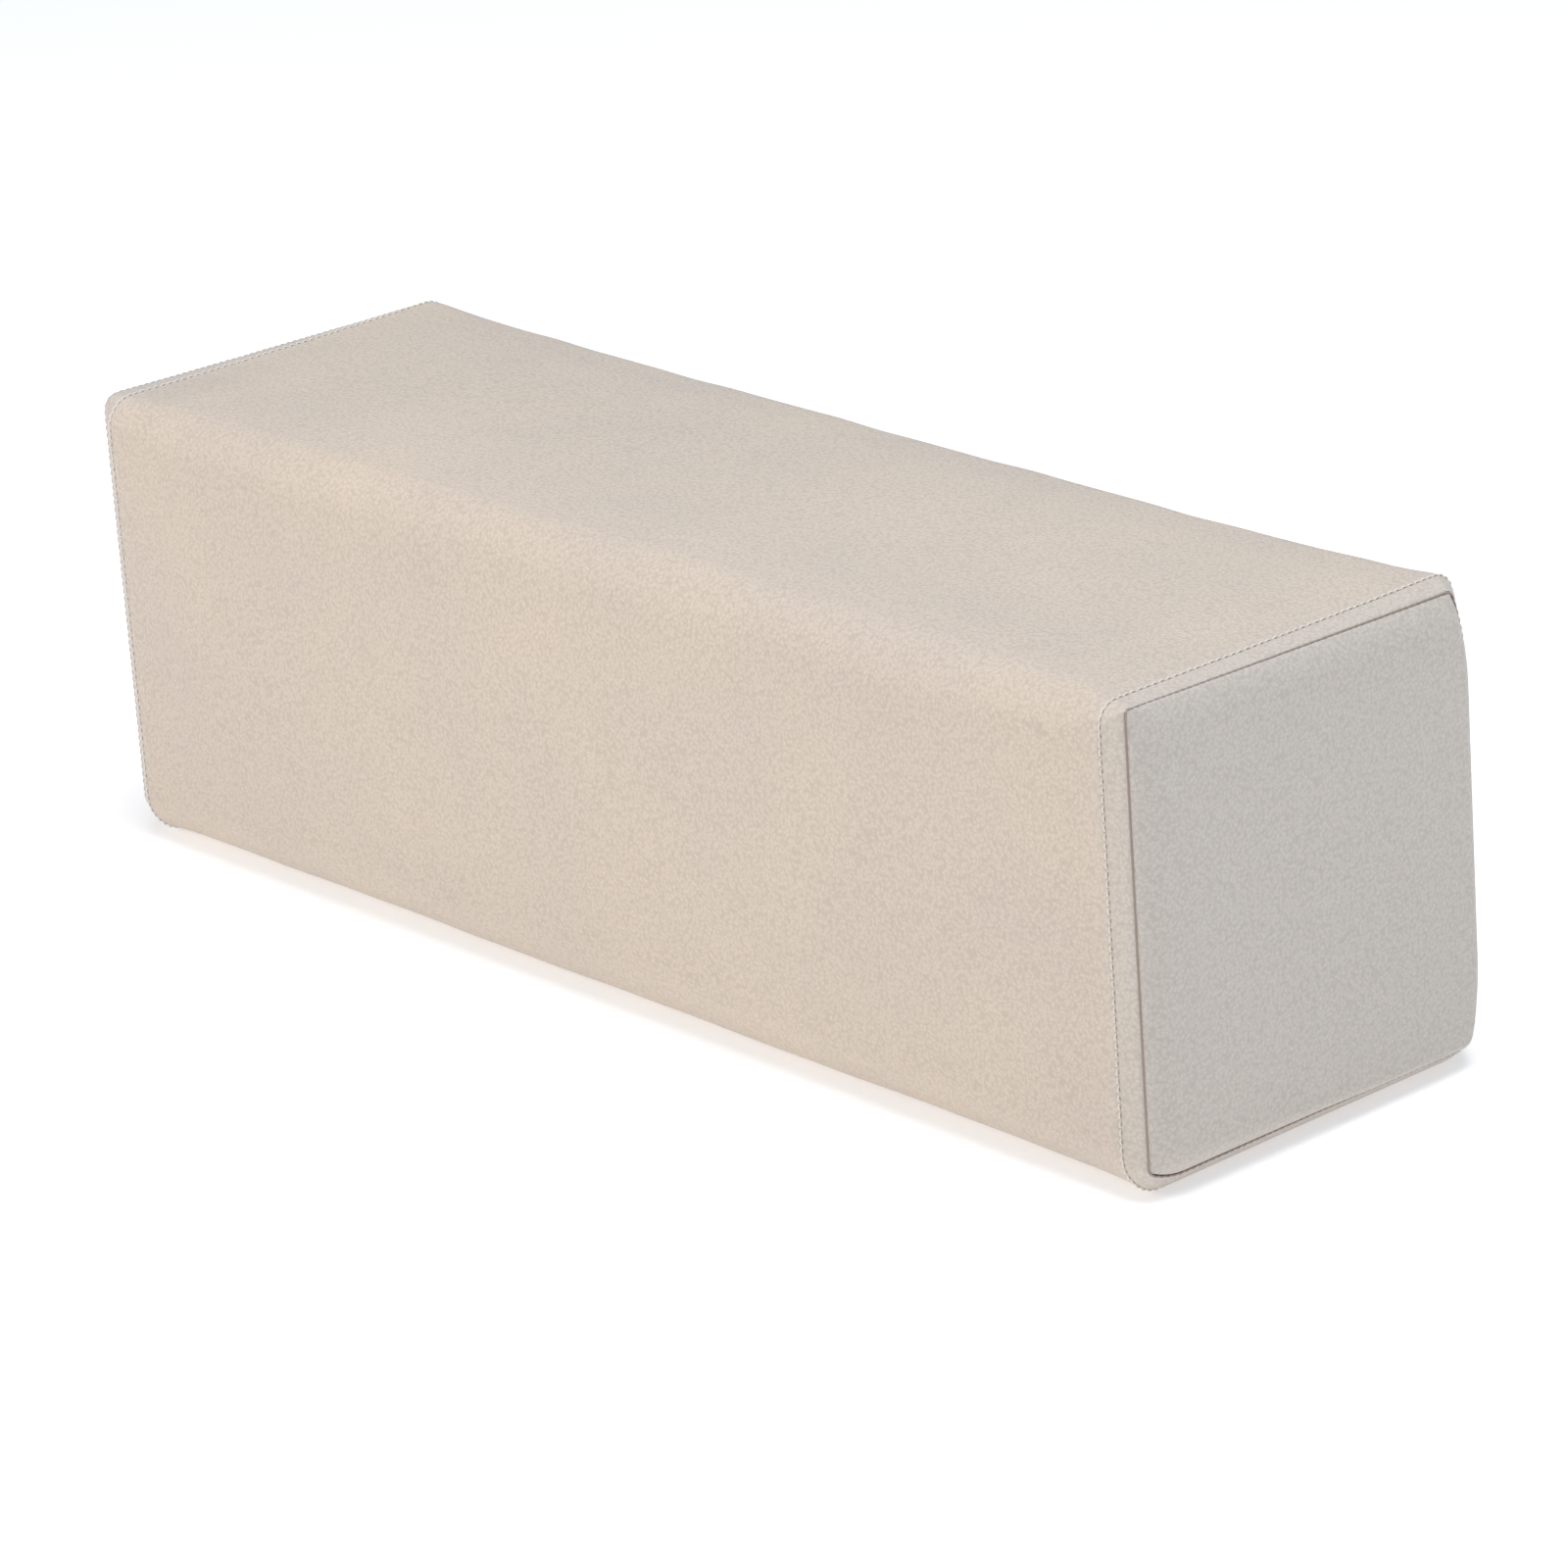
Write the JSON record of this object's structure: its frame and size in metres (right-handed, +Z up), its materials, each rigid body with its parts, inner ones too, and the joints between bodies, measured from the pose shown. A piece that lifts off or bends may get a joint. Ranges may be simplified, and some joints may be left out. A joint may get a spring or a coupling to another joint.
{
  "type": "bolster pillow",
  "caption": "Firm rectangular-section bolster pillow with a leatherette cover, set-in end panels, topstitched seams and a zipped back over a wadded foam core.",
  "frame": {"origin": "middle of the base, on the surface that the bolster rests on", "axes": "+X along the bolster towards the right end panel, +Y towards the zipped back face, +Z up"},
  "size_m": [0.5, 0.1538, 0.157],
  "materials": {
    "leatherette": "satin",
    "padding": "matte",
    "liner_cloth": "matte",
    "wadding": "matte",
    "foam": "matte",
    "seam_thread": "matte",
    "topstitch_thread": "matte",
    "zip_tape": "matte",
    "coil_nylon": "satin",
    "zip_metal": "satin"
  },
  "bodies": {
    "cover": {"cover_wrap": "leatherette", "end_panel_left": "leatherette", "end_panel_right": "leatherette", "foam_core": "foam", "wadding_wrap": "wadding", "wadding_end_left": "wadding", "wadding_end_right": "wadding", "liner_wrap": "liner_cloth", "liner_end_left": "liner_cloth", "liner_end_right": "liner_cloth", "cover_padding": "padding", "end_padding_left": "padding", "end_padding_right": "padding", "seam_thread_left": "seam_thread", "seam_thread_right": "seam_thread", "topstitch_left": "topstitch_thread", "topstitch_right": "topstitch_thread", "zip_topstitch": "topstitch_thread", "zip_tape_upper": "zip_tape", "zip_tape_lower": "zip_tape", "zip_coil_upper": "coil_nylon", "zip_coil_lower": "coil_nylon", "zip_top_stop_upper": "zip_metal", "zip_top_stop_lower": "zip_metal", "zip_bottom_stop": "zip_metal"},
    "slider": {"zip_slider": "zip_metal"},
    "pull": {"zip_pull": "zip_metal"}
  },
  "joints": [
    {"name": "zip_slide", "type": "slide", "parent": "cover", "child": "slider", "axis": [1, 0, 0], "range_m": [0, 0.422], "deforming": ["zip_coil_upper", "zip_coil_lower", "zip_tape_upper", "zip_tape_lower"]},
    {"name": "zip_pull_turn", "type": "hinge", "parent": "slider", "child": "pull", "pos_m": [-0.21175, 0.0769, 0.036], "axis": [0, 0, 1], "range_deg": [0, 180]}
  ]
}
